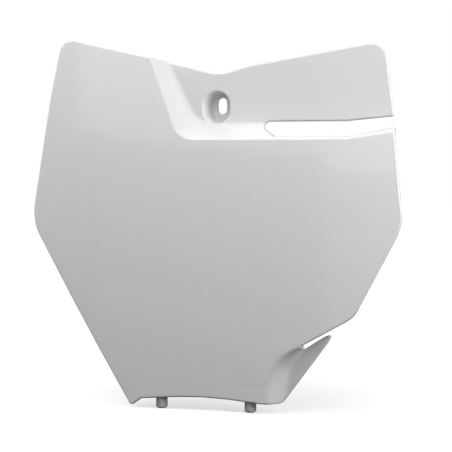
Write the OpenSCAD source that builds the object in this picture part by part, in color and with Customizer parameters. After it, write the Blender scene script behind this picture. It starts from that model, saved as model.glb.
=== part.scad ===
// Front number board of an off-road motorcycle: one thin injection moulding.
// X runs across the board, Z up along the pegs, and the rider's side is +Y.
// The origin is the middle of the bolt slot, on the seat that meets the bracket.

/* [Wall] */
// Thickness of the moulded wall
wall = 2.8; // [2.2:0.1:3.4]

/* [Face] */
// Distance from the bolt seat forward to the face, level with the bolt
face_depth = 28; // [26:0.5:32]
// Lean of the face, top away from the front, in degrees
face_lean = 4.6; // [3:0.2:6]
// Distance from the centre plane to the fold of each wing
wing_fold_x = 78; // [70:1:90]
// Sweep of the wings behind the face, in degrees
wing_sweep = 5; // [0:0.5:8]
// Half the width of the soft bend at each fold
wing_bend = 8; // [3:0.5:12]

/* [Outline, left side] */
// Top corner of the ear, distance from the centre plane
left_ear_x = 110.2; // [104:0.5:114]
// Top corner of the ear, height
left_ear_z = 47.6; // [42:0.5:54]
// Radius of the ear
left_ear_r = 9; // [4:0.5:14]
// Slight bend half way down the ear, distance from the centre plane
left_bend_x = 118.4; // [117:0.2:120]
// Slight bend half way down the ear, height
left_bend_z = 6; // [-5:1:15]
// Widest corner, distance from the centre plane
left_waist_x = 130.3; // [126:0.5:136]
// Tip at the foot, distance from the centre plane
left_tip_x = 52.4; // [49:0.5:56]
// How far the tip hangs below the foot's edge
left_tip_drop = 8.8; // [6:0.2:10]
// Step from the tip in to the foot's edge
tip_step = 7.1; // [5:0.1:9]

/* [Outline, right side] */
// Top corner of the ear, distance from the centre plane
right_ear_x = 113.5; // [108:0.5:116]
// Top corner of the ear, height
right_ear_z = 41.6; // [37:0.5:47]
// Radius of the ear
right_ear_r = 10.5; // [5:0.5:14]
// Lower corner of the arm's free end, distance from the centre plane
arm_end_x = 119.9; // [117:0.5:123]
// Widest corner, distance from the centre plane
right_waist_x = 128.7; // [126:0.5:134]
// Lower corner above the slit, distance from the centre plane
right_low_x = 96.6; // [92:0.5:101]
// Rise of the plate's edge above the slit, in degrees
plate_rise = 29.6; // [29:0.2:30.6]

/* [Outline, shared] */
// Height of both widest corners
waist_z = -79; // [-90:1:-68]
// Radius of the widest corners
waist_r = 30; // [15:1:40]
// Lowest point of the dip in the top edge, before it is rounded
valley_z = 20.6; // [17:0.5:22]
// Radius of that dip
valley_r = 28; // [10:1:36]
// Distance from the bolt slot down to the foot's edge, before it is rounded
board_reach = 193.6; // [186:0.2:200]
// How far the foot's edge drops at both its ends
foot_drop = 3.6; // [2.8:0.1:4.6]

/* [Pocket] */
// Depth of the pocket's floor in front of the bolt seat
pocket_floor = 12.6; // [11:0.2:14]
// Height of the pocket's lower edge on the face
pocket_edge_z = -23.5; // [-26:0.5:-23]
// Height of the lower edge of the pocket's floor
pocket_floor_z = -13; // [-13.6:0.2:-12.4]
// Pocket's left edge on the face, at its lower corner
pocket_edge_x = -21.4; // [-25:0.5:-19]
// Left edge of the pocket's floor, at its lower corner
pocket_floor_x = -10.4; // [-11.5:0.1:-10]
// Lean of the left edge on the face, in mm per mm of height
pocket_edge_slope = 0.413; // [0.36:0.01:0.45]
// Lean of the left edge of the floor, in mm per mm of height
pocket_floor_slope = 0.578; // [0.5:0.01:0.62]

/* [Hose slot] */
// Height of the slot's upper edge, along the arm
slot_top_z = -11.1; // [-11.6:0.1:-10.6]
// Height of the slot's lower edge, along the lip
slot_low_z = -21.4; // [-21.8:0.1:-20]
// Closed end of the slot, distance from the centre plane
slot_end_x = 32.4; // [28:0.5:40]
// Rise of the slot's lower edge at the open end
slot_low_rise = 6.2; // [4:0.2:7]
// Rise of the slot's upper edge at the open end
slot_top_rise = 3; // [1:0.2:4]

/* [Leg and slit] */
// Drop of the leg behind the face
leg_drop = 8; // [5:0.5:10]
// Width of the slit above the leg
slit_w = 2.5; // [1.6:0.1:3]
// Closed end of the slit, distance from the centre plane
slit_end_x = 64.9; // [62:0.2:67]
// Closed end of the slit above the foot's edge, at its lower corner
slit_height = 32.8; // [32:0.1:33.4]
// Rise of the slit, in degrees
slit_rise = 31; // [30:0.5:32]
// Outer corner of the leg at the foot, distance from the centre plane
leg_foot_x = 50.6; // [48:0.2:53]
// Tilt of the leg's outer edge from upright, in degrees
leg_tilt = 35.95; // [35:0.25:37]

/* [Bolt cup] */
// Width of the bolt slot
bolt_slot_w = 6.4; // [5.2:0.1:8]
// Height of the bolt slot
bolt_slot_h = 11; // [9:0.5:12]
// Width of the cup at its rim
cup_w = 19; // [17:0.5:20]
// Height of the cup at its rim
cup_h = 22; // [20:0.5:23]
// Draft of the cup's wall, in degrees
cup_draft = 9; // [2:1:12]
// Middle of the cup below the bolt slot
cup_low = 1; // [0:0.2:1.4]

/* [Pegs] */
// Diameter of the two pegs
peg_d = 7.8; // [7:0.1:8.4]
// Distance between the pegs
peg_spacing = 61.8; // [56:0.2:66]
// Middle between the pegs, from the centre plane
peg_mid_x = -1.4; // [-2:0.1:2]
// Distance of the pegs' axes behind the face
peg_behind = 5.6; // [5:0.1:6.2]
// How far the pegs reach below the foot's edge
peg_reach = 9.9; // [8:0.1:16]
// Diameter of the pegs' tapered roots where they meet their shelves
peg_root_d = 8.8; // [8.6:0.1:10]
// Chamfer at the pegs' ends
peg_chamfer = 1; // [0.4:0.1:1.6]
// Height of the shelf that carries each peg, above the foot's edge
shelf_height = 9.1; // [6:0.1:14]
// Thickness of the shelf
shelf_t = 2.2; // [1.6:0.1:3]
// Width of the shelf
shelf_w = 25.5; // [16:0.5:30]
// How far the shelf stands behind the face
shelf_reach = 13.5; // [11:0.5:20]

/* [Hidden] */

// Finest turn between two points of an arc, in degrees
arc_step = 8;
// Room that a cutting or cut solid has past the moulding
margin = 60;
// Overlap that keeps joined solids in one piece
bite = 0.4;
// Reach of the tools that cut the pocket and the leg's recess, in front of the face
front_room = 2;
// Thinnest slice that a hull is drawn from
slice = 0.01;
// Mean draft of the pocket's walls and of the leg's wall, in degrees
pocket_draft = 33;
leg_draft = 50;
// Radii of the pocket's corner on the face and on its floor
pocket_edge_r = 9.5;
pocket_floor_r = 4;
// How much the pocket's two lower edges climb from the bend to the tools' ends
pocket_edge_rise = 15;
pocket_floor_rise = 7;
// Radii of the leg's fold where it leaves the face and where it meets the leg
leg_mouth_r = 5;
leg_floor_r = 3;
leg_fold_r = 16;
// Room of the leg's tools past the leg, and the radius of corners out there
leg_room = 20;
outside_r = 1;
// Overall spans, used only for the size of the tools
board_half_w = max(left_waist_x, right_waist_x);
board_top = max(left_ear_z, right_ear_z);
board_low = -board_reach - max(left_tip_drop, peg_reach);

// Heights that follow the foot's edge
foot_z = -board_reach;
foot_low_z = foot_z - foot_drop;
slit_end_z = foot_z + slit_height;
peg_end_z = foot_z - peg_reach;
peg_root_z = foot_z - 3.2;
shelf_z = foot_z + shelf_height;

// Front of the face on the centre plane at a height
function face_y(z) = -face_depth + z * tan(face_lean);
// How far the face has swept back at a distance from the centre plane
function sweep(x) =
    let (past = abs(x) - wing_fold_x, k = tan(wing_sweep))
    past < -wing_bend ? 0
    : past > wing_bend ? k * past
    : k * pow(past + wing_bend, 2) / (4 * wing_bend);

// Points of an outline whose corners [x, z, radius] become arcs
function unit(v) = v / norm(v);
function turned(v, a) = [v.x * cos(a) - v.y * sin(a), v.x * sin(a) + v.y * cos(a)];
function corner_arc(a, b, c, r) =
    let (u = unit(a - b),
         v = unit(c - b),
         half = acos(u * v) / 2,
         centre = b + unit(u + v) * r / sin(half),
         first = b + u * r / tan(half) - centre,
         turn = (u.x * v.y - u.y * v.x < 0 ? 1 : -1) * (180 - 2 * half),
         steps = ceil(abs(turn) / arc_step) + 1)
    [for (i = [0 : steps]) centre + turned(first, turn * i / steps)];
function flat(p) = [p[0], p[1]];
function rounded(corners) =
    let (n = len(corners))
    [for (i = [0 : n - 1])
        each corner_arc(flat(corners[(i + n - 1) % n]), flat(corners[i]),
                        flat(corners[(i + 1) % n]), corners[i][2])];

// The slit's lower corner at its closed end, its direction and the way across it
slit_start = [slit_end_x, slit_end_z];
slit_along = [cos(slit_rise), sin(slit_rise)];
slit_across = [-sin(slit_rise), cos(slit_rise)];
// Where the leg's outer edge would meet its upper edge, before the tip is rounded
leg_foot = [leg_foot_x, foot_low_z];
leg_up = [sin(leg_tilt), cos(leg_tilt)];
tip_run = ((leg_foot.y - slit_start.y) * leg_up.x - (leg_foot.x - slit_start.x) * leg_up.y)
    / (slit_along.y * leg_up.x - slit_along.x * leg_up.y);
leg_tip = slit_start + slit_along * tip_run;
slit_upper = slit_start + slit_across * slit_w;
right_low_z = slit_upper.y + (right_low_x - slit_upper.x) * tan(plate_rise);
// Right edge of the board at the level of the slot's lip
lip_end_z = slot_low_z + slot_low_rise;
lip_end_x = arm_end_x + 1.8;

// Places of the outline's minor corners, as distances from the centre plane
foot_crown_x = -2;
slot_low_bend_x = 92;
slot_top_bend_x = 88;
right_slope_x = 22;
valley_x = -1;
left_slope_x = 46;
// How far those corners lie along or above their neighbours
foot_flat = 12;
slot_end_run = 9.8;
slot_end_rise = 5.6;
right_slope_rise = 6.4;
left_slope_rise = 12.4;
// Radii of the outline's minor corners
tip_r = 2.4;
sharp_r = 1.5;
slot_r = 2;
slot_top_r = 3.5;
slot_bend_r = 30;
slit_end_r = slit_w * 0.4;
leg_foot_r = 6;
right_low_r = 14;
soft_r = 60;
left_slope_r = 120;
foot_crown_r = 240;
flat_r = 400;

// Outline seen from the front, counter-clockwise from the left ear
OUTLINE = rounded([
    [-left_ear_x, left_ear_z, left_ear_r],
    [-left_bend_x, left_bend_z, flat_r],
    [-left_waist_x, waist_z, waist_r],
    [-left_tip_x, foot_z - left_tip_drop, tip_r],
    [-left_tip_x + tip_step, foot_low_z, tip_r],
    [foot_crown_x, foot_z, foot_crown_r],
    [leg_foot_x - foot_flat, foot_low_z, soft_r],
    [leg_foot.x, leg_foot.y, leg_foot_r],
    [leg_tip.x, leg_tip.y, sharp_r],
    [slit_start.x, slit_start.y, slit_end_r],
    [slit_upper.x, slit_upper.y, slit_end_r],
    [right_low_x, right_low_z, right_low_r],
    [right_waist_x, waist_z, waist_r],
    [lip_end_x, lip_end_z, slot_r],
    [slot_low_bend_x, slot_low_z, slot_bend_r],
    [slot_end_x + slot_end_run, slot_low_z, slot_r],
    [slot_end_x, slot_low_z + slot_end_rise, slot_r],
    [slot_end_x, slot_top_z, slot_top_r],
    [slot_top_bend_x, slot_top_z, soft_r],
    [arm_end_x, slot_top_z + slot_top_rise, sharp_r],
    [right_ear_x, right_ear_z, right_ear_r],
    [right_slope_x, valley_z + right_slope_rise, soft_r],
    [valley_x, valley_z, valley_r],
    [-left_slope_x, valley_z + left_slope_rise, left_slope_r],
]);

// Turns a shape drawn in X and Z to stand upright, its thickness towards -Y
module upright(thickness) {
    rotate([90, 0, 0])
        linear_extrude(height = thickness) children();
}

// Everything behind the face, pushed back by a depth
module behind_face(depth) {
    bends = [for (i = [-2 : 2]) wing_fold_x + wing_bend * i / 2];
    far = board_half_w + margin;
    front = concat([-far], [for (i = [4 : -1 : 0]) -bends[i]], bends, [far]);
    translate([0, -face_depth, 0])
        rotate([-face_lean, 0, 0])
            translate([0, 0, board_low - margin])
                linear_extrude(height = board_top - board_low + 2 * margin)
                    polygon(concat(
                        [for (x = front) [x, sweep(x) + depth]],
                        [[far, face_depth + margin], [-far, face_depth + margin]]));
}

// Places a thin shape parallel to the face, at a depth behind it
module on_face(depth) {
    translate([0, -face_depth, 0])
        rotate([-face_lean, 0, 0])
            translate([0, depth, 0]) children();
}

// The pocket's mouth on the face, and its floor, drawn from the front
module pocket_mouth(grow) {
    up = board_top + margin - pocket_edge_z;
    offset(delta = grow)
        polygon(rounded([
            [pocket_edge_x, pocket_edge_z, pocket_edge_r],
            [slot_low_bend_x, pocket_edge_z, slot_bend_r],
            [board_half_w + margin, pocket_edge_z + pocket_edge_rise, outside_r],
            [board_half_w + margin, pocket_edge_z + up, outside_r],
            [pocket_edge_x - up * pocket_edge_slope, pocket_edge_z + up, outside_r],
        ]));
}
module pocket_base(grow) {
    up = board_top + margin - pocket_floor_z;
    offset(delta = grow)
        polygon(rounded([
            [pocket_floor_x, pocket_floor_z, pocket_floor_r],
            [slot_low_bend_x, pocket_floor_z, slot_bend_r],
            [board_half_w + margin, pocket_floor_z + pocket_floor_rise, outside_r],
            [board_half_w + margin, pocket_floor_z + up, outside_r],
            [pocket_floor_x - up * pocket_floor_slope, pocket_floor_z + up, outside_r],
        ]));
}
// The hollow in front of the pocket; a skin thicker, it is the back of its walls
module pocket(skin) {
    hull() {
        on_face(0)
            upright(front_room)
                pocket_mouth(skin / cos(pocket_draft));
        translate([0, -pocket_floor + skin, 0])
            upright(slice)
                pocket_base(skin * (1 - sin(pocket_draft)) / cos(pocket_draft));
    }
}

// The recess that drops the leg behind the face, its mouth and its floor
module leg_mouth(grow) {
    offset(delta = grow)
        polygon(rounded([
            [slit_end_x - 23.7, foot_low_z - leg_room, outside_r],
            [leg_tip.x + leg_room, foot_low_z - leg_room, outside_r],
            [leg_tip.x + leg_room, leg_tip.y + leg_room * tan(slit_rise), outside_r],
            [slit_end_x - 19.7, slit_end_z - 8.6, leg_mouth_r],
            [slit_end_x - 22.3, slit_end_z - 24, soft_r],
        ]));
}
module leg_base(grow) {
    offset(delta = grow)
        polygon(rounded([
            [slit_end_x - 16.9, foot_low_z - leg_room, outside_r],
            [leg_tip.x + leg_room, foot_low_z - leg_room, outside_r],
            [leg_tip.x + leg_room, leg_tip.y + leg_room * tan(slit_rise), outside_r],
            [slit_end_x - 1, slit_end_z - 0.6, leg_floor_r],
            [slit_end_x - 9.9, slit_end_z - 14.6, leg_fold_r],
        ]));
}
module leg_recess(skin) {
    hull() {
        on_face(0)
            upright(front_room)
                leg_mouth(skin / cos(leg_draft));
        on_face(leg_drop + skin)
            upright(slice)
                leg_base(skin * (1 - sin(leg_draft)) / cos(leg_draft));
    }
}

// The curved plate with its pocket and recess, one wall thick all over
module plate() {
    intersection() {
        difference() {
            behind_face(0);
            pocket(0);
            leg_recess(0);
            difference() {
                behind_face(wall);
                pocket(wall);
                leg_recess(wall);
            }
        }
        translate([0, margin, 0])
            upright(3 * margin)
                polygon(OUTLINE);
    }
}

// A round-ended cone frustum along Y, the shape of the cup inside and out
module cup_form(mouth_w, mouth_h, depth, y) {
    narrow = depth * tan(cup_draft);
    rise = (mouth_h - mouth_w) / 2;
    hull()
        for (side = [-1, 1])
            translate([0, y, -cup_low + side * rise])
                rotate([-90, 0, 0])
                    cylinder(h = depth, d1 = mouth_w, d2 = mouth_w - 2 * narrow, $fn = 40);
}
// The slot for the bolt, with true half-round ends
module bolt_slot() {
    run = bolt_slot_h - bolt_slot_w;
    translate([0, -wall - front_room, 0])
        rotate([-90, 0, 0]) {
            for (side = [-1, 1])
                translate([0, side * run / 2, 0])
                    cylinder(h = wall + 2 * front_room, d = bolt_slot_w, $fn = 48);
            translate([-bolt_slot_w / 2, -run / 2, 0])
                cube([bolt_slot_w, run, wall + 2 * front_room]);
        }
}

// A peg, straight below the foot and tapered behind it, and the shelf that carries it
module peg(x) {
    chamfer_top = peg_end_z + peg_chamfer;
    translate([x, face_y(foot_z) + peg_behind, 0]) {
        translate([0, 0, peg_end_z])
            cylinder(h = peg_chamfer, d1 = peg_d - 2 * peg_chamfer, d2 = peg_d, $fn = 48);
        translate([0, 0, chamfer_top])
            cylinder(h = peg_root_z - chamfer_top, d = peg_d, $fn = 48);
        translate([0, 0, peg_root_z])
            cylinder(h = shelf_z + bite - peg_root_z, d1 = peg_d, d2 = peg_root_d, $fn = 48);
    }
}
module shelf(x) {
    rear = face_y(shelf_z) + shelf_reach;
    intersection() {
        behind_face(wall - bite);
        translate([x, 0, shelf_z])
            linear_extrude(height = shelf_t)
                polygon(rounded([
                    [-shelf_w / 2, rear - shelf_reach - wall, 0.2],
                    [shelf_w / 2, rear - shelf_reach - wall, 0.2],
                    [shelf_w / 2, rear, 4],
                    [-shelf_w / 2, rear, 4],
                ]));
    }
}

module number_board() {
    color("whitesmoke")
        difference() {
            union() {
                plate();
                cup_form(cup_w + 2 * wall, cup_h + 2 * wall, pocket_floor, -pocket_floor);
                for (side = [-1, 1]) {
                    peg(peg_mid_x + side * peg_spacing / 2);
                    shelf(peg_mid_x + side * peg_spacing / 2);
                }
            }
            cup_form(cup_w, cup_h, pocket_floor - wall, -pocket_floor);
            bolt_slot();
        }
}

number_board();
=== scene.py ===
"""Front number board of an off-road motorcycle: its looks, the studio and the camera.

The board is one thin injection moulding in gloss white plastic. Its mesh starts as a flat sheet
with the board's outline. The sheet is cut along its creases, pressed to the depth of its front
or its back, and the two sheets are closed along the rim and through the bolt cup.
Sizes are millimetres in the part's own frame, and the finished mesh is scaled to metres.
"""

from __future__ import annotations

import logging
import math
from dataclasses import dataclass
from enum import Enum
from typing import Callable, Iterable, Sequence

import bmesh
import bpy
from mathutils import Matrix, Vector


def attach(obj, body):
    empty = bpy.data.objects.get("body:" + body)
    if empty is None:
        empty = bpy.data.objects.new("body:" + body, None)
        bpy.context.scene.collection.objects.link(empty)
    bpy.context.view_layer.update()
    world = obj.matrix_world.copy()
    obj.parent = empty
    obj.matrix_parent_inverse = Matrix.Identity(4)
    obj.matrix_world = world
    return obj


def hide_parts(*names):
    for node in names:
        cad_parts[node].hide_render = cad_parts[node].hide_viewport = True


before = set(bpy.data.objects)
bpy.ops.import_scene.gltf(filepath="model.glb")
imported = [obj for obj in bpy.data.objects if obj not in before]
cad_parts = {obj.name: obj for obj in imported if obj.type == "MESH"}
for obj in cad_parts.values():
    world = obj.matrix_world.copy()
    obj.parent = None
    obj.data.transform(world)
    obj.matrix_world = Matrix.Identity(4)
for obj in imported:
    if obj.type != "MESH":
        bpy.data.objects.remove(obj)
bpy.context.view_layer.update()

MM = 0.001
NODE = "number_board"
BODY = "root"
log = logging.getLogger("number_board")


class Side(Enum):
    """The two faces of the moulded wall."""

    FRONT = "front"
    BACK = "back"


def smooth_ramp(distance: float, width: float) -> float:
    """Rises in line with distance once past zero, with a soft start.

    Args:
        distance: Signed distance past the start.
        width: Half the width of the soft start.

    Returns:
        Zero before the start, the distance after it, and a parabola between.
    """
    if distance <= -width:
        return 0.0
    if distance >= width:
        return distance
    return (distance + width) ** 2 / (4.0 * width)


def smooth_least(first: float, second: float, blend: float) -> float:
    """Takes the lesser of two distances, rounded where they are alike.

    Args:
        first: One distance.
        second: The other distance.
        blend: The difference over which they blend.

    Returns:
        The blended distance.
    """
    near = max(blend - abs(first - second), 0.0)
    return min(first, second) - (near * near / (4.0 * blend) if blend > 0.0 else 0.0)


@dataclass(frozen=True)
class Crease:
    """A straight line on the board seen from the front, with its inner side on the right."""

    x: float
    z: float
    dx: float
    dz: float

    @property
    def normal(self) -> tuple[float, float]:
        """Returns the unit vector across the line, towards its inner side."""
        length = math.hypot(self.dx, self.dz)
        return self.dz / length, -self.dx / length

    def inside(self, x: float, z: float) -> float:
        """Returns how far a point lies on the inner side."""
        nx, nz = self.normal
        return (x - self.x) * nx + (z - self.z) * nz

    def moved(self, inwards: float) -> Crease:
        """Returns the parallel line a distance further in."""
        nx, nz = self.normal
        return Crease(self.x + nx * inwards, self.z + nz * inwards, self.dx, self.dz)

    def turn(self, other: Crease) -> float:
        """Returns the angle between this line's direction and another's."""
        nx, nz = self.normal
        ox, oz = other.normal
        return math.acos(max(-1.0, min(1.0, nx * ox + nz * oz)))


@dataclass(frozen=True)
class Patch:
    """The convex ground inside a chain of creases whose corners are rounded."""

    creases: tuple[Crease, ...]
    radii: tuple[float, ...]

    def inside(self, x: float, z: float) -> float:
        """Measures how far a point lies inside the patch.

        Args:
            x: Place across the board.
            z: Height.

        Returns:
            The distance from the patch's edge, negative outside it.
        """
        depth = self.creases[0].inside(x, z)
        for last, crease, radius in zip(self.creases, self.creases[1:], self.radii):
            half = last.turn(crease) / 2.0
            blend = 2.0 * radius * math.sin(half) ** 2 / math.cos(half)
            depth = smooth_least(depth, crease.inside(x, z), blend)
        return depth

    def grown(self, by: float) -> Patch:
        """Returns the patch with its edge moved outwards."""
        creases = tuple(crease.moved(-by) for crease in self.creases)
        return Patch(creases, tuple(radius + by for radius in self.radii))


@dataclass(frozen=True)
class Recess:
    """A sunk area of the face: its mouth, its floor and the softness of its two folds."""

    mouth: Patch
    floor: Patch
    mouth_fold: float
    floor_fold: float

    def share(self, x: float, z: float) -> float:
        """Tells how far down the wall between mouth and floor a point lies.

        Args:
            x: Place across the board.
            z: Height.

        Returns:
            Zero on the face, one on the floor, and a straight wall between.
        """
        past_mouth = self.mouth.inside(x, z)
        before_floor = -self.floor.inside(x, z)
        width = max(past_mouth + before_floor, 0.5)
        if past_mouth < before_floor:
            return smooth_ramp(past_mouth, min(self.mouth_fold, width / 3.0)) / width
        return 1.0 - smooth_ramp(before_floor, min(self.floor_fold, width / 3.0)) / width

    def grown(self, wall: float, draft: float) -> Recess:
        """Gives the same recess on the back of its wall.

        Args:
            wall: Thickness of the moulding.
            draft: Mean draft of the wall, in degrees.

        Returns:
            The recess one wall further out, with its folds' softness exchanged.
        """
        lean = math.radians(draft)
        mouth = self.mouth.grown(wall / math.cos(lean))
        floor = self.floor.grown(wall * (1.0 - math.sin(lean)) / math.cos(lean))
        return Recess(mouth, floor, self.floor_fold, self.mouth_fold)


@dataclass(frozen=True)
class Window:
    """A rectangle seen from the front, inside which a family of cuts is made."""

    left: float
    right: float
    low: float
    high: float

    def holds(self, x: float, z: float) -> bool:
        """Returns whether a point lies in the window."""
        return self.left <= x <= self.right and self.low <= z <= self.high


@dataclass(frozen=True)
class CutFamily:
    """Parallel cuts at stated distances from one crease, inside one window."""

    crease: Crease
    offsets: tuple[float, ...]
    window: Window


def spread(first: float, last: float, step: float) -> tuple[float, ...]:
    """Returns evenly spaced values from first to last, about a step apart."""
    count = max(1, round((last - first) / step))
    return tuple(first + (last - first) * i / count for i in range(count + 1))


def fallen_short(angle: float) -> tuple[float, float]:
    """Returns by how much an angle's cosine and sine fall short of one, for a rounding."""
    turn = math.radians(angle)
    return 1.0 - math.cos(turn), 1.0 - math.sin(turn)


@dataclass
class BoardForm:
    """The board's sizes, and the depth of its front and back at every place."""

    wall: float = 2.8
    face_depth: float = 28.0
    face_lean: float = 4.6
    wing_fold_x: float = 78.0
    wing_sweep: float = 5.0
    wing_bend: float = 5.0
    pocket_floor: float = 12.6
    pocket_draft: float = 33.0
    pocket_edge: tuple[float, float] = (-23.4, -22.9)
    pocket_edge_slope: float = 0.38
    pocket_edge_r: float = 14.5
    pocket_base: tuple[float, float] = (-14.8, -13.6)
    pocket_base_slope: float = 0.503
    pocket_base_r: float = 16.0
    pocket_folds: tuple[float, float] = (0.8, 2.3)
    lip_bend_x: float = 92.0
    lip_bend_r: float = 30.0
    lip_rise: float = 0.153
    base_rise: float = 0.071
    leg_drop: float = 8.0
    leg_draft: float = 50.0
    leg_edge: tuple[tuple[float, float], ...] = (
        (41.2, -217.2),
        (42.6, -184.8),
        (45.2, -169.4),
        (106.3, -136.0),
    )
    leg_edge_radii: tuple[float, float] = (60.0, 25.0)
    leg_base: tuple[tuple[float, float], ...] = (
        (48.0, -217.2),
        (55.0, -175.4),
        (63.9, -161.4),
        (106.3, -136.0),
    )
    leg_base_radii: tuple[float, float] = (16.0, 12.0)
    leg_folds: tuple[float, float] = (2.2, 1.3)
    sink_depth: float = 0.07
    sink_z: float = -185.6
    sink_half_w: float = 13.0
    sink_fade: tuple[float, float] = (1.6, 1.3)
    peg_x: tuple[float, float] = (-32.3, 29.5)

    def __post_init__(self) -> None:
        """Lays out the pocket and the leg's recess for both sides of the wall."""
        edge_x, edge_z = self.pocket_edge
        base_x, base_z = self.pocket_base
        mouth = Patch(
            (
                Crease(edge_x, edge_z, -self.pocket_edge_slope, 1.0),
                Crease(edge_x, edge_z, -1.0, 0.0),
                Crease(self.lip_bend_x, edge_z, -1.0, -self.lip_rise),
            ),
            (self.pocket_edge_r, self.lip_bend_r),
        )
        floor = Patch(
            (
                Crease(base_x, base_z, -self.pocket_base_slope, 1.0),
                Crease(base_x, base_z, -1.0, 0.0),
                Crease(self.lip_bend_x, base_z, -1.0, -self.base_rise),
            ),
            (self.pocket_base_r, self.lip_bend_r),
        )
        leg_mouth = self.chain(self.leg_edge, self.leg_edge_radii)
        leg_floor = self.chain(self.leg_base, self.leg_base_radii)
        pocket = Recess(mouth, floor, *self.pocket_folds)
        leg = Recess(leg_mouth, leg_floor, *self.leg_folds)
        self.pockets = {
            Side.FRONT: pocket,
            Side.BACK: pocket.grown(self.wall, self.pocket_draft),
        }
        self.legs = {Side.FRONT: leg, Side.BACK: leg.grown(self.wall, self.leg_draft)}

    @staticmethod
    def chain(points: Sequence[tuple[float, float]], radii: tuple[float, ...]) -> Patch:
        """Returns the patch on the right of a chain of points."""
        creases = tuple(
            Crease(a[0], a[1], b[0] - a[0], b[1] - a[1]) for a, b in zip(points, points[1:])
        )
        return Patch(creases, radii)

    def sweep(self, x: float) -> float:
        """Returns how far a wing has swept back at a place across the board."""
        past = abs(x) - self.wing_fold_x
        return math.tan(math.radians(self.wing_sweep)) * smooth_ramp(past, self.wing_bend)

    def sink(self, x: float, z: float) -> float:
        """Returns the depth of the faint sink marks in front of the two shelves."""
        depth = 0.0
        fade_x, fade_z = self.sink_fade
        for peg in self.peg_x:
            across = max(abs(x - peg) - self.sink_half_w, 0.0) / fade_x
            along = (z - self.sink_z) / fade_z
            depth += self.sink_depth * math.exp(-(across * across + along * along))
        return depth

    def depth(self, x: float, z: float, side: Side) -> float:
        """Gives the place of the front or the back of the wall.

        Args:
            x: Place across the board.
            z: Height.
            side: The side of the wall.

        Returns:
            The Y of that side, before the rim is rounded.
        """
        skin = 0.0 if side is Side.FRONT else self.wall
        lean = math.radians(self.face_lean)
        face = -self.face_depth + z * math.tan(lean) + (self.sweep(x) + skin) / math.cos(lean)
        face += self.leg_drop * self.legs[side].share(x, z)
        if side is Side.FRONT:
            face += self.sink(x, z)
        floor = -self.pocket_floor + skin
        return face + (floor - face) * self.pockets[side].share(x, z)


@dataclass(frozen=True)
class Corner:
    """A corner of the outline, with the radius that it is rounded to."""

    x: float
    z: float
    radius: float


@dataclass
class BoardOutline:
    """The board's outline seen from the front, in two runs that meet at the seam's ends."""

    seam_z: float = -1.0
    lower: tuple[Corner, ...] = (
        Corner(-130.3, -79.0, 32.8),
        Corner(-98.5, -130.5, 400.0),
        Corner(-52.4, -202.4, 2.4),
        Corner(-45.3, -197.2, 2.4),
        Corner(-2.0, -193.6, 240.0),
        Corner(38.6, -197.2, 60.0),
        Corner(50.6, -197.2, 6.0),
        Corner(88.3, -145.6, 1.9),
        Corner(64.9, -160.8, 1.0),
        Corner(63.61, -158.66, 1.0),
        Corner(98.2, -139.1, 22.0),
        Corner(128.7, -79.0, 33.2),
        Corner(121.7, -15.2, 2.0),
        Corner(92.0, -21.4, 30.0),
        Corner(42.2, -21.4, 2.0),
        Corner(32.4, -15.8, 2.0),
        Corner(32.4, -11.1, 3.5),
        Corner(88.0, -11.1, 60.0),
        Corner(119.9, -8.1, 1.7),
    )
    upper: tuple[Corner, ...] = (
        Corner(113.5, 41.6, 10.5),
        Corner(22.0, 27.0, 60.0),
        Corner(1.0, 20.8, 32.0),
        Corner(-46.0, 33.0, 120.0),
        Corner(-110.2, 47.6, 9.0),
        Corner(-118.4, 6.0, 200.0),
    )

    def seam_end(self, above: Corner, below: Corner) -> Corner:
        """Returns the point of a side edge at the seam's height."""
        share = (self.seam_z - below.z) / (above.z - below.z)
        return Corner(below.x + share * (above.x - below.x), self.seam_z, 0.0)


@dataclass
class BoltCup:
    """The cup around the bolt slot, as round-ended rings about an upright middle line."""

    mouth_w: float = 19.0
    mouth_h: float = 22.0
    draft: float = 9.0
    middle_z: float = BoardOutline.seam_z
    mouth_shift: tuple[float, float] = (-1.2, -0.4)
    slot_w: float = 6.4
    slot_h: float = 11.0
    wall: float = BoardForm.wall
    floor_fillet: float = 1.1
    rim_round: float = 0.45
    hole_reach: float = 17.0
    fold_reach: float = 20.0

    @property
    def half_run(self) -> float:
        """Returns half the straight length of the cup's sides."""
        return (self.mouth_h - self.mouth_w) / 2.0

    @property
    def slope(self) -> float:
        """Returns how much the cup narrows on each side for each millimetre of depth."""
        return math.tan(math.radians(self.draft))

    def place(self, x: float, z: float, radius: float, share: float) -> tuple[float, float]:
        """Moves a point of a ring to a ring of another size.

        Args:
            x: Place across the board, on a ring of the cup's own form.
            z: Height.
            radius: Radius of the new ring's round ends.
            share: Zero for the cup's form, one for the bolt slot's.

        Returns:
            The point's new place and height.
        """
        up = z - self.middle_z
        end = math.copysign(min(abs(up), self.half_run), up)
        reach = math.hypot(x, up - end)
        slot_run = (self.slot_h - self.slot_w) / 2.0
        run = self.half_run + (slot_run - self.half_run) * share
        middle = self.middle_z * (1.0 - share)
        scale = radius / reach
        return x * scale, middle + end * run / self.half_run + (up - end) * scale

    def near(self, x: float, z: float, reach: float) -> bool:
        """Returns whether a point lies within a distance of the cup's middle line."""
        up = z - self.middle_z
        return math.hypot(x, up - max(-self.half_run, min(self.half_run, up))) < reach


@dataclass
class PegSizes:
    """The two pegs at the foot and the shelves that carry them."""

    radius: float = 3.9
    root_radius: float = 4.4
    chamfer: float = 1.0
    soft: float = 0.15
    end_z: float = -203.5
    root_z: float = -196.8
    axis_y: float = -37.98
    shelf_z: float = -184.5
    shelf_t: float = 2.2
    shelf_w: float = 25.5
    shelf_reach: float = 13.5
    shelf_corner: float = 4.0
    shelf_soft: float = 0.4
    steps_round: int = 48


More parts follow.
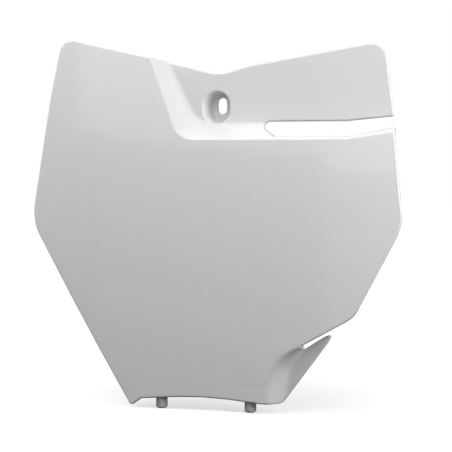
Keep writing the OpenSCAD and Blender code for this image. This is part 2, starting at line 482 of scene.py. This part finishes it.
@dataclass(frozen=True)
class CutPlan:
    """Where the flat sheets are cut, how closely, and how near two points count as one."""

    whole: Window = Window(-140.0, 140.0, -210.0, 60.0)
    grid: Window = Window(-124.0, 124.0, -196.0, 44.0)
    grid_step: float = 8.0
    bend_step: float = 2.0
    pocket_side: Window = Window(-60.0, -6.0, -31.0, 60.0)
    pocket_low: Window = Window(-30.0, 140.0, -31.0, -5.0)
    pocket_lip: Window = Window(BoardForm.lip_bend_x, 140.0, -31.0, 0.0)
    pocket_corner: Window = Window(-32.0, -3.0, -31.0, -3.0)
    corner_step: float = 0.7
    cuts_in_fold: float = 3.0
    leg: Window = Window(36.0, 72.0, -204.0, -153.0)
    leg_step: float = 1.2
    mark_reach: tuple[float, float] = (18.0, 4.0)
    mark_steps: tuple[float, float] = (2.0, 0.8)
    snap: float = 0.02
    weld: float = 0.001
    weld_rim: float = 0.004


class NumberBoard:
    """The moulding itself: plate, wings, pocket, cup, leg, pegs and shelves in one mesh."""

    def __init__(self) -> None:
        """Takes the sizes of the board's parts."""
        self.form = BoardForm()
        self.outline = BoardOutline()
        self.cup = BoltCup()
        self.pegs = PegSizes()
        self.plan = CutPlan()
        self.rim_front = 1.2
        self.rim_back = 0.5
        self.rim_steps = (0.075, 0.29, 0.62, 1.0, 1.3)
        self.wide_radius = 5.0
        self.wide_step = 6.0
        self.tight_step = 12.0

    def corner_reach(self, corner: Vector, before: Vector, after: Vector, radius: float) -> float:
        """Finds how far from a corner its rounding starts.

        Args:
            corner: The corner.
            before: The corner before it.
            after: The corner after it.
            radius: The radius wanted.

        Returns:
            The distance along each edge at which a bevel's middle lies on the true arc.
        """
        half = (before - corner).angle(after - corner) / 2.0
        bulge = 2.0 - math.sqrt(2.0)
        return radius * (1.0 / math.sin(half) - 1.0) / (bulge * math.cos(half))

    def round_corner(self, bm: bmesh.types.BMesh, vert: bmesh.types.BMVert, radius: float) -> None:
        """Rounds one corner of a flat sheet.

        Args:
            bm: The sheet.
            vert: The corner's vertex, with one edge on each side.
            radius: Radius of the corner.
        """
        before, after = (edge.other_vert(vert).co for edge in vert.link_edges)
        reach = self.corner_reach(vert.co, before, after, radius)
        turn = math.degrees(math.pi - (before - vert.co).angle(after - vert.co))
        finest = self.wide_step if radius > self.wide_radius else self.tight_step
        bmesh.ops.bevel(
            bm,
            geom=[vert],
            offset=reach,
            offset_type="OFFSET",
            segments=max(2, math.ceil(turn / finest)),
            profile=0.5,
            affect="VERTICES",
            material=-1,
        )

    def flat_sheet(
        self, bm: bmesh.types.BMesh, hole_w: float, hole_h: float, shift: tuple[float, float]
    ) -> None:
        """Lays out the board's outline as two flat faces around the cup's hole.

        Args:
            bm: The mesh that receives the sheet.
            hole_w: Width of the hole.
            hole_h: Height of the hole.
            shift: How far the hole's middle lies from the bolt's, across and up.
        """
        outline = self.outline
        left = outline.seam_end(outline.upper[-1], outline.lower[0])
        right = outline.seam_end(outline.upper[0], outline.lower[-1])
        across = shift[0]
        middle = outline.seam_z + shift[1]
        half_w = hole_w / 2.0
        half_h = hole_h / 2.0
        near = across - half_w
        far = across + half_w
        hole_top = [Corner(near, middle + half_h, half_w), Corner(far, middle + half_h, half_w)]
        hole_low = [Corner(far, middle - half_h, half_w), Corner(near, middle - half_h, half_w)]
        made: dict[Corner, bmesh.types.BMVert] = {}

        def verts(corners: Iterable[Corner]) -> list[bmesh.types.BMVert]:
            """Returns the vertex of each corner, made once."""
            for corner in corners:
                if corner not in made:
                    made[corner] = bm.verts.new((corner.x, 0.0, corner.z))
            return [made[corner] for corner in corners]

        hole_left = Corner(near, middle, 0.0)
        hole_right = Corner(far, middle, 0.0)
        bm.faces.new(verts([left, *outline.lower, right, hole_right, *hole_low, hole_left]))
        bm.faces.new(verts([right, *outline.upper, left, hole_left, *hole_top, hole_right]))
        for corner, vert in made.items():
            if corner.radius > 0.0:
                self.round_corner(bm, vert, corner.radius)
        bmesh.ops.remove_doubles(bm, verts=bm.verts[:], dist=self.plan.weld)

    def rim_loops(self, bm: bmesh.types.BMesh) -> None:
        """Adds the loops that the rounded rim needs, and notes each vertex's way in.

        Args:
            bm: The flat sheet.
        """
        way_in = bm.verts.layers.float.new("way_in")
        region = bm.faces[:]
        reached = 0.0
        for step in self.rim_steps:
            wanted = step * self.rim_front
            bmesh.ops.inset_region(
                bm,
                faces=region,
                use_boundary=True,
                use_even_offset=True,
                thickness=wanted - reached,
                depth=0.0,
            )
            reached = wanted
            for face in region:
                for vert in face.verts:
                    vert[way_in] = wanted

    def cut_families(self) -> list[CutFamily]:
        """Lists the cuts that give the sheet its creases, bends and fine areas.

        Returns:
            The families of parallel cuts, the coarse grid first.
        """
        form = self.form
        plan = self.plan
        upright = Crease(0.0, 0.0, 0.0, 1.0)
        level = Crease(0.0, 0.0, -1.0, 0.0)
        grid = plan.grid
        families = [
            CutFamily(upright, spread(grid.left, grid.right, plan.grid_step), plan.whole),
            CutFamily(level, spread(grid.low, grid.high, plan.grid_step), plan.whole),
        ]
        for fold_x in (-form.wing_fold_x, form.wing_fold_x):
            bend = spread(fold_x - form.wing_bend, fold_x + form.wing_bend, plan.bend_step)
            families.append(CutFamily(upright, bend, plan.whole))
        ground = (plan.pocket_side, plan.pocket_low, plan.pocket_lip)
        for recess in form.pockets.values():
            for patch, soft in ((recess.mouth, recess.mouth_fold), (recess.floor, recess.floor_fold)):
                offsets = spread(-soft, soft, soft / plan.cuts_in_fold)
                for crease, window in zip(patch.creases, ground):
                    families.append(CutFamily(crease, offsets, window))
        for area, step in ((plan.pocket_corner, plan.corner_step), (plan.leg, plan.leg_step)):
            families.append(CutFamily(upright, spread(area.left, area.right, step), area))
            families.append(CutFamily(level, spread(area.low, area.high, step), area))
        reach_x, reach_z = plan.mark_reach
        step_x, step_z = plan.mark_steps
        for peg in form.peg_x:
            mark = Window(
                peg - reach_x, peg + reach_x, form.sink_z - reach_z, form.sink_z + reach_z
            )
            families.append(CutFamily(level, spread(mark.low, mark.high, step_z), mark))
            families.append(CutFamily(upright, spread(mark.left, mark.right, step_x), mark))
        return families

    def cut(self, bm: bmesh.types.BMesh, family: CutFamily) -> None:
        """Cuts the flat sheet along one family of parallel lines.

        Args:
            bm: The flat sheet.
            family: The lines and the window that they stay in.
        """
        faces = []
        for face in bm.faces:
            middle = face.calc_center_median()
            if family.window.holds(middle.x, middle.z):
                faces.append(face)
        edges = {edge for face in faces for edge in face.edges}
        verts = {vert for face in faces for vert in face.verts}
        geometry = [*verts, *edges, *faces]
        for offset in family.offsets:
            line = family.crease.moved(offset)
            nx, nz = line.normal
            result = bmesh.ops.bisect_plane(
                bm,
                geom=geometry,
                dist=self.plan.snap,
                plane_co=(line.x, 0.0, line.z),
                plane_no=(nx, 0.0, nz),
            )
            geometry = result["geom"]

    def rim_drop(self, way_in: float, radius: float) -> float:
        """Returns how far a rounded rim falls away at a distance from its edge."""
        short = max(radius - way_in, 0.0)
        return radius - math.sqrt(max(radius * radius - short * short, 0.0))

    def rim_y(self, x: float, z: float, way_in: float, side: Side) -> float:
        """Gives the depth of a point of the sheet with its rim rounded.

        Args:
            x: Place across the board.
            z: Height.
            way_in: Distance from the sheet's edge.
            side: The side of the wall.

        Returns:
            The Y of the finished surface.
        """
        surface = self.form.depth(x, z, side)
        if side is Side.FRONT:
            return surface + self.rim_drop(way_in, self.rim_front)
        fall = self.rim_drop(way_in, self.rim_back)
        return surface + (fall if self.cup.near(x, z, self.cup.fold_reach) else -fall)

    def pressed_sheet(self, side: Side) -> bmesh.types.BMesh:
        """Makes one side of the plate with its hole, pressed to shape.

        Args:
            side: The side of the wall.

        Returns:
            The sheet as a mesh of its own.
        """
        bm = bmesh.new()
        extra = 0.0
        shift = self.cup.mouth_shift
        if side is Side.BACK:
            extra = 2.0 * self.cup.wall * (1.0 - self.cup.slope)
            shift = (0.0, 0.0)
        self.flat_sheet(bm, self.cup.mouth_w + extra, self.cup.mouth_h + extra, shift)
        self.rim_loops(bm)
        for family in self.cut_families():
            self.cut(bm, family)
        way_in = bm.verts.layers.float["way_in"]
        home = bm.verts.layers.float_vector.new("home")
        for vert in bm.verts:
            vert[home] = vert.co
            vert.co.y = self.rim_y(vert.co.x, vert.co.z, vert[way_in], side)
        if side is Side.BACK:
            bmesh.ops.reverse_faces(bm, faces=bm.faces[:])
        log.info("%s sheet: %d faces", side.value, len(bm.faces))
        return bm

    def open_ring(self, bm: bmesh.types.BMesh, cup: bool) -> list[bmesh.types.BMEdge]:
        """Returns the sheet's open edges at the cup's hole, or those at its outer rim."""
        reach = self.cup.hole_reach
        return [
            edge
            for edge in bm.edges
            if edge.is_boundary
            and cup == self.cup.near(edge.verts[0].co.x, edge.verts[0].co.z, reach)
        ]

    def extrude_ring(
        self,
        bm: bmesh.types.BMesh,
        edges: list[bmesh.types.BMEdge],
        place: Callable[[Vector], Vector],
    ) -> list[bmesh.types.BMEdge]:
        """Extrudes a ring of edges and moves the new ring to its place.

        Args:
            bm: The mesh.
            edges: The ring.
            place: Gives a vertex's new place from its place in the flat sheet.

        Returns:
            The new ring's edges.
        """
        home = bm.verts.layers.float_vector["home"]
        made = bmesh.ops.extrude_edge_only(bm, edges=edges)["geom"]
        for item in made:
            if isinstance(item, bmesh.types.BMVert):
                item.co = place(item[home])
        return [
            item for item in made if isinstance(item, bmesh.types.BMEdge) and item.is_boundary
        ]

    def line_cup(self, bm: bmesh.types.BMesh) -> None:
        """Runs the front skin down the cup, over its floor and through the bolt slot.

        Args:
            bm: The front sheet.
        """
        cup = self.cup
        floor_y = -cup.wall
        depth = self.form.pocket_floor - cup.wall
        foot_r = cup.mouth_w / 2.0 - depth * cup.slope
        slot_r = cup.slot_w / 2.0
        fillet = cup.floor_fillet
        soft = cup.rim_round
        steps = []
        for angle in spread(0.0, 90.0, 22.5):
            side, down = fallen_short(angle)
            steps.append((foot_r - fillet * side, 0.0, floor_y - fillet * down))
        steps.append(((foot_r + slot_r) / 2.0, 0.5, floor_y))
        for angle in spread(90.0, 0.0, -30.0):
            side, down = fallen_short(angle)
            steps.append((slot_r + soft * side, 1.0, floor_y + soft * down))
        for angle in spread(0.0, 90.0, 30.0):
            side, down = fallen_short(angle)
            steps.append((slot_r + soft * side, 1.0, -soft * down))
        ring = self.open_ring(bm, True)
        over, up = cup.mouth_shift
        for radius, share, y in steps:

            def place(home: Vector) -> Vector:
                """Returns a flat point's place on this ring."""
                x, z = cup.place(home.x - over, home.z - up, radius, share)
                return Vector((x, y, z))

            ring = self.extrude_ring(bm, ring, place)

    def raise_cup(self, bm: bmesh.types.BMesh) -> None:
        """Runs the back skin up the cup's outer wall to the edge of the seat.

        Args:
            bm: The back sheet.
        """
        cup = self.cup
        seat_r = cup.mouth_w / 2.0 + cup.wall - self.form.pocket_floor * cup.slope
        soft = cup.rim_round
        ring = self.open_ring(bm, True)
        for angle in spread(0.0, 90.0, 30.0):
            side, down = fallen_short(angle)
            radius = seat_r - soft * side
            y = -soft * down

            def place(home: Vector) -> Vector:
                """Returns a flat point's place on this ring."""
                x, z = cup.place(home.x, home.z, radius, 0.0)
                return Vector((x, y, z))

            ring = self.extrude_ring(bm, ring, place)

    def close_rim(self, bm: bmesh.types.BMesh) -> None:
        """Extrudes the front sheet's outer edge to the back sheet's.

        Args:
            bm: The front sheet.
        """

        def place(home: Vector) -> Vector:
            """Returns a rim point's place on the back sheet's edge."""
            return Vector((home.x, self.rim_y(home.x, home.z, 0.0, Side.BACK), home.z))

        self.extrude_ring(bm, self.open_ring(bm, False), place)

    def add_pegs(self, bm: bmesh.types.BMesh) -> None:
        """Turns the two pegs with their tapered roots.

        Args:
            bm: The mesh that receives them.
        """
        sizes = self.pegs
        for x in self.form.peg_x:
            profile = [
                (0.0, sizes.end_z),
                (sizes.radius - sizes.chamfer - sizes.soft, sizes.end_z),
                (sizes.radius - sizes.chamfer + sizes.soft, sizes.end_z + sizes.soft),
                (sizes.radius - sizes.soft, sizes.end_z + sizes.chamfer - sizes.soft),
                (sizes.radius, sizes.end_z + sizes.chamfer + sizes.soft),
                (sizes.radius, sizes.root_z),
                (sizes.root_radius, sizes.shelf_z + sizes.shelf_t / 2.0),
                (0.0, sizes.shelf_z + sizes.shelf_t / 2.0),
            ]
            verts = [bm.verts.new((x + r, sizes.axis_y, z)) for r, z in profile]
            edges = [bm.edges.new(pair) for pair in zip(verts, verts[1:])]
            turned = bmesh.ops.spin(
                bm,
                geom=[*verts, *edges],
                cent=(x, sizes.axis_y, 0.0),
                axis=(0.0, 0.0, 1.0),
                dvec=(0.0, 0.0, 0.0),
                angle=2.0 * math.pi,
                steps=sizes.steps_round,
                use_merge=True,
            )
            log.info("peg at %.1f: %d parts", x, len(turned["geom_last"]))

    def add_shelves(self, bm: bmesh.types.BMesh) -> None:
        """Makes the two shelves that carry the pegs behind the face.

        Args:
            bm: The mesh that receives them.
        """
        sizes = self.pegs
        front_y = self.form.depth(0.0, sizes.shelf_z, Side.BACK) - self.form.wall / 2.0
        rear_y = self.form.depth(0.0, sizes.shelf_z, Side.FRONT) + sizes.shelf_reach
        for x in self.form.peg_x:
            verts = bmesh.ops.create_cube(bm, size=1.0)["verts"]
            bmesh.ops.scale(bm, verts=verts, vec=(sizes.shelf_w, rear_y - front_y, sizes.shelf_t))
            middle = (x, (front_y + rear_y) / 2.0, sizes.shelf_z + sizes.shelf_t / 2.0)
            bmesh.ops.translate(bm, verts=verts, vec=middle)
            edges = {edge for vert in verts for edge in vert.link_edges}
            rear = [
                edge
                for edge in edges
                if all(abs(vert.co.y - rear_y) < self.plan.snap for vert in edge.verts)
                and not self.is_level(edge)
            ]
            rounded = self.bevel_edges(bm, rear, sizes.shelf_corner, 6)
            faces = set(rounded)
            for face in rounded:
                for edge in face.edges:
                    faces.update(edge.link_faces)
            rims = {edge for face in faces for edge in face.edges if self.is_level(edge)}
            self.bevel_edges(bm, list(rims), sizes.shelf_soft, 2)

    def is_level(self, edge: bmesh.types.BMEdge) -> bool:
        """Returns whether an edge's two ends are at one height."""
        first, second = edge.verts
        return abs(first.co.z - second.co.z) < self.plan.snap

    def bevel_edges(
        self, bm: bmesh.types.BMesh, edges: list[bmesh.types.BMEdge], width: float, segments: int
    ) -> list[bmesh.types.BMFace]:
        """Rounds edges of a closed piece.

        Args:
            bm: The mesh.
            edges: The edges to round.
            width: Distance from each edge at which its rounding starts.
            segments: Steps across each rounding.

        Returns:
            The new faces.
        """
        return bmesh.ops.bevel(
            bm,
            geom=edges,
            offset=width,
            offset_type="OFFSET",
            segments=segments,
            profile=0.5,
            affect="EDGES",
            clamp_overlap=True,
            material=-1,
        )["faces"]

    def build(self) -> bpy.types.Object:
        """Makes the whole moulding.

        Returns:
            The finished object, in metres, with its place in its mesh.
        """
        bm = self.pressed_sheet(Side.FRONT)
        self.line_cup(bm)
        self.close_rim(bm)
        back = self.pressed_sheet(Side.BACK)
        self.raise_cup(back)
        back_mesh = bpy.data.meshes.new("number_board_back")
        back.to_mesh(back_mesh)
        back.free()
        bm.from_mesh(back_mesh)
        bpy.data.meshes.remove(back_mesh)
        bmesh.ops.remove_doubles(bm, verts=bm.verts[:], dist=self.plan.weld_rim)
        seat = [edge for edge in bm.edges if edge.is_boundary]
        bmesh.ops.bridge_loops(bm, edges=seat)
        self.add_pegs(bm)
        bmesh.ops.remove_doubles(bm, verts=bm.verts[:], dist=self.plan.weld)
        self.add_shelves(bm)
        crowded = [face for face in bm.faces if len(face.verts) > 4]
        bmesh.ops.triangulate(bm, faces=crowded)
        bmesh.ops.recalc_face_normals(bm, faces=bm.faces[:])
        open_edges = sum(1 for edge in bm.edges if not edge.is_manifold)
        log.info("board: %d faces, %d edges not closed", len(bm.faces), open_edges)
        bmesh.ops.scale(bm, verts=bm.verts[:], vec=(MM, MM, MM))
        mesh = bpy.data.meshes.new("number_board_moulding")
        bm.to_mesh(mesh)
        bm.free()
        mesh.polygons.foreach_set("use_smooth", [True] * len(mesh.polygons))
        return link_object("number_board_moulding", mesh)


@dataclass(frozen=True)
class MouldedSkin:
    """The fine surface of a gloss injection moulding, shared by every material that needs it."""

    name: str = "moulded_skin"
    flow_scale: float = 9.0
    flow_detail: float = 3.0
    haze_scale: float = 55.0
    haze_detail: float = 4.0
    haze_span: tuple[float, float] = (0.3, 0.7)
    polish_scale: float = 900.0
    polish_detail: float = 2.0
    haze_in_tone: float = 0.3
    polish_in_height: float = 0.25

    def group(self) -> bpy.types.ShaderNodeTree:
        """Builds the node group, or returns the one already built.

        Returns:
            A group that puts out a soft tone, a roughness and a height.
        """
        if self.name in bpy.data.node_groups:
            return bpy.data.node_groups[self.name]
        tree = bpy.data.node_groups.new(self.name, "ShaderNodeTree")
        for label, value in (
            ("Flow Scale", self.flow_scale),
            ("Haze Scale", self.haze_scale),
            ("Polish Scale", self.polish_scale),
            ("Low Roughness", 0.2),
            ("High Roughness", 0.3),
        ):
            socket = tree.interface.new_socket(label, in_out="INPUT", socket_type="NodeSocketFloat")
            socket.default_value = value
        for label in ("Tone", "Roughness", "Height"):
            tree.interface.new_socket(label, in_out="OUTPUT", socket_type="NodeSocketFloat")
        nodes = tree.nodes
        links = tree.links
        given = nodes.new("NodeGroupInput")
        out = nodes.new("NodeGroupOutput")
        place = nodes.new("ShaderNodeTexCoord")
        flow = self.noise(tree, place, given.outputs["Flow Scale"], self.flow_detail)
        haze = self.noise(tree, place, given.outputs["Haze Scale"], self.haze_detail)
        polish = self.noise(tree, place, given.outputs["Polish Scale"], self.polish_detail)
        tone = nodes.new("ShaderNodeMix")
        tone.data_type = "FLOAT"
        tone.inputs["Factor"].default_value = self.haze_in_tone
        links.new(flow.outputs["Fac"], tone.inputs["A"])
        links.new(haze.outputs["Fac"], tone.inputs["B"])
        rough = nodes.new("ShaderNodeMapRange")
        rough.inputs["From Min"].default_value = self.haze_span[0]
        rough.inputs["From Max"].default_value = self.haze_span[1]
        links.new(haze.outputs["Fac"], rough.inputs["Value"])
        links.new(given.outputs["Low Roughness"], rough.inputs["To Min"])
        links.new(given.outputs["High Roughness"], rough.inputs["To Max"])
        height = nodes.new("ShaderNodeMix")
        height.data_type = "FLOAT"
        height.inputs["Factor"].default_value = self.polish_in_height
        links.new(haze.outputs["Fac"], height.inputs["A"])
        links.new(polish.outputs["Fac"], height.inputs["B"])
        links.new(tone.outputs["Result"], out.inputs["Tone"])
        links.new(rough.outputs["Result"], out.inputs["Roughness"])
        links.new(height.outputs["Result"], out.inputs["Height"])
        return tree

    def noise(
        self,
        tree: bpy.types.ShaderNodeTree,
        place: bpy.types.ShaderNode,
        scale: bpy.types.NodeSocket,
        detail: float,
    ) -> bpy.types.ShaderNode:
        """Adds one noise on the object's own coordinates.

        Args:
            tree: The group's tree.
            place: The node that gives the coordinates.
            scale: The socket that gives the noise's scale.
            detail: Number of finer layers.

        Returns:
            The noise node.
        """
        noise = tree.nodes.new("ShaderNodeTexNoise")
        noise.inputs["Detail"].default_value = detail
        tree.links.new(place.outputs["Object"], noise.inputs["Vector"])
        tree.links.new(scale, noise.inputs["Scale"])
        return noise


@dataclass(frozen=True)
class GlossPlastic:
    """Gloss white plastic as it comes out of a polished mould."""

    name: str
    light: tuple[float, float, float]
    dark: tuple[float, float, float]
    roughness: tuple[float, float]
    ior: float = 1.49
    bump: float = 0.01
    bump_depth: float = 0.1

    def material(self) -> bpy.types.Material:
        """Builds the material.

        Returns:
            The material, ready for a piece.
        """
        material = bpy.data.materials.new(self.name)
        material.use_nodes = True
        nodes = material.node_tree.nodes
        links = material.node_tree.links
        shader = nodes["Principled BSDF"]
        shader.inputs["IOR"].default_value = self.ior
        skin = nodes.new("ShaderNodeGroup")
        skin.node_tree = MouldedSkin().group()
        skin.inputs["Low Roughness"].default_value = self.roughness[0]
        skin.inputs["High Roughness"].default_value = self.roughness[1]
        colour = nodes.new("ShaderNodeMix")
        colour.data_type = "RGBA"
        colour.inputs["A"].default_value = (*self.dark, 1.0)
        colour.inputs["B"].default_value = (*self.light, 1.0)
        links.new(skin.outputs["Tone"], colour.inputs["Factor"])
        links.new(colour.outputs["Result"], shader.inputs["Base Color"])
        links.new(skin.outputs["Roughness"], shader.inputs["Roughness"])
        bump = nodes.new("ShaderNodeBump")
        bump.inputs["Strength"].default_value = self.bump
        bump.inputs["Distance"].default_value = self.bump_depth * MM
        links.new(skin.outputs["Height"], bump.inputs["Height"])
        links.new(bump.outputs["Normal"], shader.inputs["Normal"])
        return material


@dataclass(frozen=True)
class SoftBox:
    """A flat studio lamp: its place, aim and size in millimetres, and its power in watts."""

    name: str
    place: tuple[float, float, float]
    aim: tuple[float, float, float]
    size: tuple[float, float]
    power: float

    def light(self) -> bpy.types.Object:
        """Returns the lamp, set up and aimed."""
        lamp = bpy.data.lights.new(self.name, "AREA")
        lamp.shape = "RECTANGLE"
        lamp.size = self.size[0] * MM
        lamp.size_y = self.size[1] * MM
        lamp.energy = self.power
        light = link_object(self.name, lamp)
        light.location = Vector(self.place) * MM
        way = Vector(self.aim) - Vector(self.place)
        light.rotation_euler = way.to_track_quat("-Z", "Y").to_euler()
        return light


@dataclass
class Studio:
    """The plain pale surroundings: floor, lamps, world and camera."""

    floor_z: float = PegSizes.end_z
    floor_half: float = 4000.0
    floor_bounce: float = 0.05
    floor_seen: float = 0.5
    lift_near: float = 0.53
    lift_from: float = 60.0
    lift_to: float = 450.0
    front_ambient: float = 0.15
    rear_ambient: float = 0.5
    rear_from: float = 0.6
    camera_place: tuple[float, float, float] = (259.1, -898.4, -33.4)
    camera_aim: tuple[float, float, float] = (11.7, -34.5, -80.55)
    lens: float = 108.0
    sensor: float = 36.0
    middle: tuple[float, float, float] = (0.0, -30.0, -60.0)
    lamps: tuple[SoftBox, ...] = (
        SoftBox("lamp_front", (-270.0, -1233.0, 315.0), (362.0, -213.0, 315.0), (1013.0, 300.0), 1.2),
        SoftBox("lamp_above", (30.0, -260.0, 300.0), middle, (500.0, 400.0), 1.0),
        SoftBox("lamp_behind", (0.0, 300.0, 500.0), middle, (500.0, 500.0), 0.4),
        SoftBox("lamp_right", (500.0, -150.0, 60.0), middle, (250.0, 250.0), 1.8),
        SoftBox("lamp_left_high", (-550.0, -200.0, 450.0), middle, (400.0, 400.0), 3.6),
    )

    def floor(self) -> bpy.types.Object:
        """Lays the floor that the pegs stand on.

        Returns:
            The floor.
        """
        bm = bmesh.new()
        bmesh.ops.create_grid(bm, x_segments=1, y_segments=1, size=self.floor_half * MM)
        bmesh.ops.translate(bm, verts=bm.verts[:], vec=(0.0, 0.0, self.floor_z * MM))
        mesh = bpy.data.meshes.new("studio_floor")
        bm.to_mesh(mesh)
        bm.free()
        floor = link_object("studio_floor", mesh)
        mesh.materials.append(self.floor_material())
        return floor

    def floor_material(self) -> bpy.types.Material:
        """Makes a floor that meets the white around the board and still shows its soft shadow.

        Returns:
            The floor's material, paler to the camera than to the light that it throws back.
        """
        material = bpy.data.materials.new("studio_floor")
        material.use_nodes = True
        nodes = material.node_tree.nodes
        links = material.node_tree.links
        dull = nodes["Principled BSDF"]
        pale = nodes.new("ShaderNodeBsdfPrincipled")
        for shader, grey in ((dull, self.floor_bounce), (pale, self.floor_seen)):
            shader.inputs["Base Color"].default_value = (grey, grey, grey, 1.0)
            shader.inputs["Roughness"].default_value = 1.0
            shader.inputs["Specular IOR Level"].default_value = 0.0
        place = nodes.new("ShaderNodeTexCoord")
        away = nodes.new("ShaderNodeVectorMath")
        away.operation = "LENGTH"
        lift = nodes.new("ShaderNodeMapRange")
        lift.inputs["From Min"].default_value = self.lift_from * MM
        lift.inputs["From Max"].default_value = self.lift_to * MM
        lift.inputs["To Min"].default_value = self.lift_near
        lift.inputs["To Max"].default_value = 1.0
        flat = nodes.new("ShaderNodeVectorMath")
        flat.operation = "MULTIPLY"
        flat.inputs[1].default_value = (1.0, 1.0, 0.0)
        glow = nodes.new("ShaderNodeEmission")
        both = nodes.new("ShaderNodeAddShader")
        seen = nodes.new("ShaderNodeLightPath")
        pick = nodes.new("ShaderNodeMixShader")
        links.new(place.outputs["Object"], flat.inputs[0])
        links.new(flat.outputs["Vector"], away.inputs[0])
        links.new(away.outputs["Value"], lift.inputs["Value"])
        links.new(lift.outputs["Result"], glow.inputs["Strength"])
        links.new(pale.outputs["BSDF"], both.inputs[0])
        links.new(glow.outputs["Emission"], both.inputs[1])
        links.new(seen.outputs["Is Camera Ray"], pick.inputs["Fac"])
        links.new(dull.outputs["BSDF"], pick.inputs[1])
        links.new(both.outputs["Shader"], pick.inputs[2])
        links.new(pick.outputs["Shader"], nodes["Material Output"].inputs["Surface"])
        return material

    def world(self) -> bpy.types.World:
        """Makes a world that is white to the camera and gives the board a plain soft light.

        Returns:
            The world in use.
        """
        world = bpy.data.worlds.new("studio")
        world.use_nodes = True
        nodes = world.node_tree.nodes
        links = world.node_tree.links
        soft = nodes["Background"]
        soft.inputs["Color"].default_value = (1.0, 1.0, 1.0, 1.0)
        way = nodes.new("ShaderNodeTexCoord")
        axes = nodes.new("ShaderNodeSeparateXYZ")
        depth = nodes.new("ShaderNodeMapRange")
        depth.inputs["From Min"].default_value = 0.0
        depth.inputs["From Max"].default_value = self.rear_from
        depth.inputs["To Min"].default_value = self.front_ambient
        depth.inputs["To Max"].default_value = self.rear_ambient
        links.new(way.outputs["Generated"], axes.inputs["Vector"])
        links.new(axes.outputs["Y"], depth.inputs["Value"])
        links.new(depth.outputs["Result"], soft.inputs["Strength"])
        white = nodes.new("ShaderNodeBackground")
        white.inputs["Color"].default_value = (1.0, 1.0, 1.0, 1.0)
        white.inputs["Strength"].default_value = 1.0
        seen = nodes.new("ShaderNodeLightPath")
        clear = nodes.new("ShaderNodeMath")
        clear.operation = "MAXIMUM"
        links.new(seen.outputs["Is Camera Ray"], clear.inputs[0])
        links.new(seen.outputs["Is Transmission Ray"], clear.inputs[1])
        pick = nodes.new("ShaderNodeMixShader")
        links.new(clear.outputs["Value"], pick.inputs["Fac"])
        links.new(soft.outputs["Background"], pick.inputs[1])
        links.new(white.outputs["Background"], pick.inputs[2])
        links.new(pick.outputs["Shader"], nodes["World Output"].inputs["Surface"])
        bpy.context.scene.world = world
        return world

    def camera(self) -> bpy.types.Object:
        """Returns the scene's camera, at the photograph's place."""
        lens = bpy.data.cameras.new("photo_camera")
        lens.lens = self.lens
        lens.sensor_width = self.sensor
        camera = link_object("photo_camera", lens)
        camera.location = Vector(self.camera_place) * MM
        way = Vector(self.camera_aim) - Vector(self.camera_place)
        camera.rotation_euler = way.to_track_quat("-Z", "Y").to_euler()
        bpy.context.scene.camera = camera
        return camera

    def build(self) -> None:
        """Sets up the floor, the lamps, the world and the camera."""
        self.floor()
        for lamp in self.lamps:
            lamp.light()
        self.world()
        self.camera()
        bpy.context.scene.view_settings.view_transform = "Standard"


def link_object(name: str, data: bpy.types.ID) -> bpy.types.Object:
    """Returns a new object in the scene that shows the given data."""
    made = bpy.data.objects.new(name, data)
    bpy.context.scene.collection.objects.link(made)
    return made


def main() -> None:
    """Builds the board and the studio, and reports each piece."""
    logging.basicConfig(level=logging.INFO, format="%(message)s")
    plastic = GlossPlastic(
        "gloss_white_plastic",
        light=(0.805, 0.805, 0.805),
        dark=(0.79, 0.79, 0.792),
        roughness=(0.05, 0.065),
    )
    board = NumberBoard().build()
    board.data.materials.append(plastic.material())
    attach(board, BODY)
    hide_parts(NODE)
    log.info("%s: %d vertices", board.name, len(board.data.vertices))
    Studio().build()


if __name__ == "__main__":
    main()
